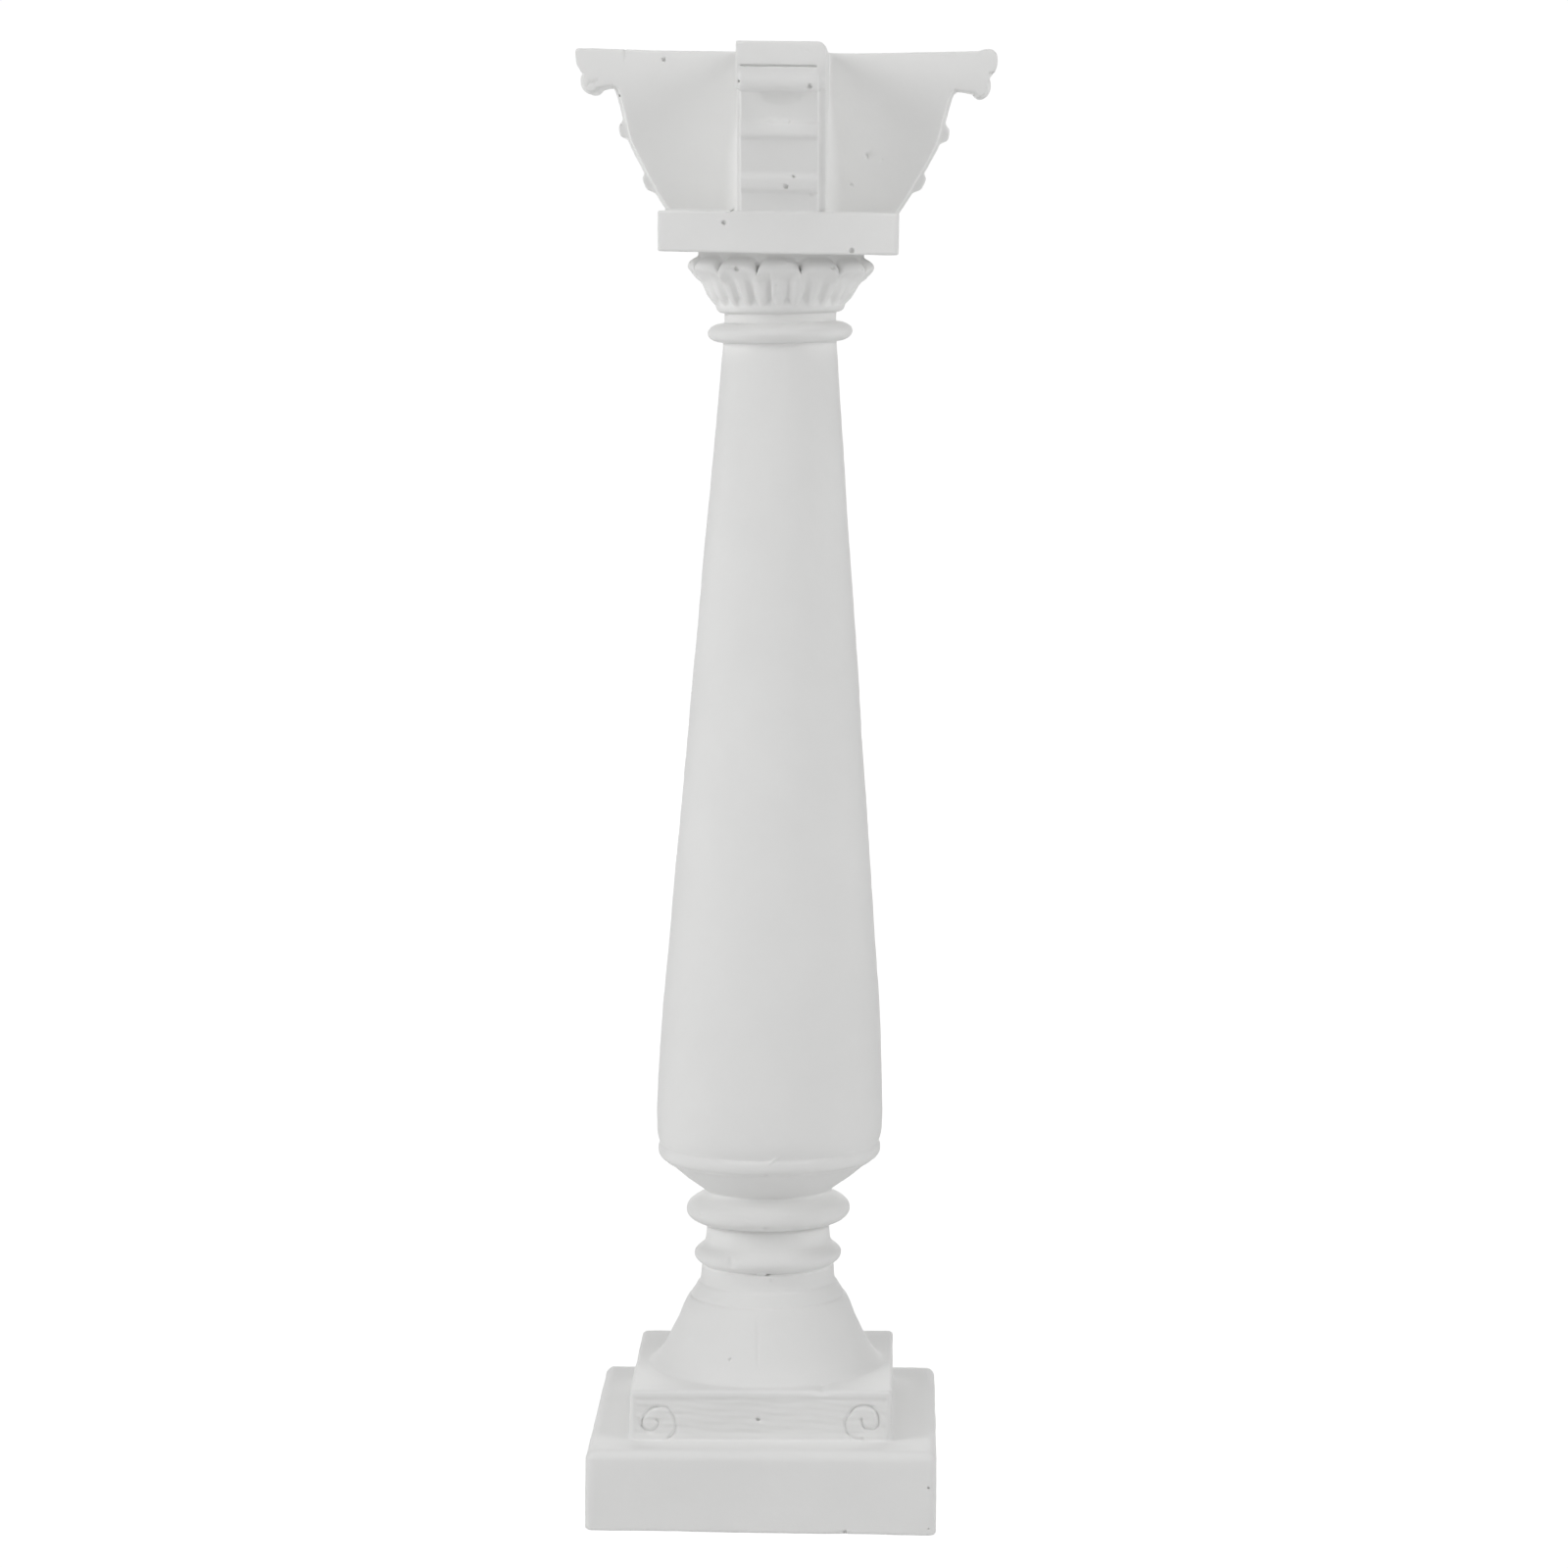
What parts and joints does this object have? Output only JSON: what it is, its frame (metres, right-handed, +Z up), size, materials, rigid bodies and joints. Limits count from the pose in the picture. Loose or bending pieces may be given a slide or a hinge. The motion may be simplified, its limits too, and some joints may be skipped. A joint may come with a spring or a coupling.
{
  "type": "roman column ornament",
  "caption": "Small one-piece plaster column with a square plinth, tapering shaft, leaf ring and a capital of crossed scroll arms; stands on its base.",
  "frame": {"origin": "centre of the flat underside of the plinth", "axes": "+Z up along the shaft, -Y towards the front face with the two incised scrolls, +X to the right seen from the front"},
  "size_m": [0.0572, 0.0572, 0.2],
  "materials": {
    "plaster": "matt white cast plaster with pinholes and a faint mould seam"
  },
  "bodies": {
    "root": {"column": "plaster"}
  },
  "joints": []
}
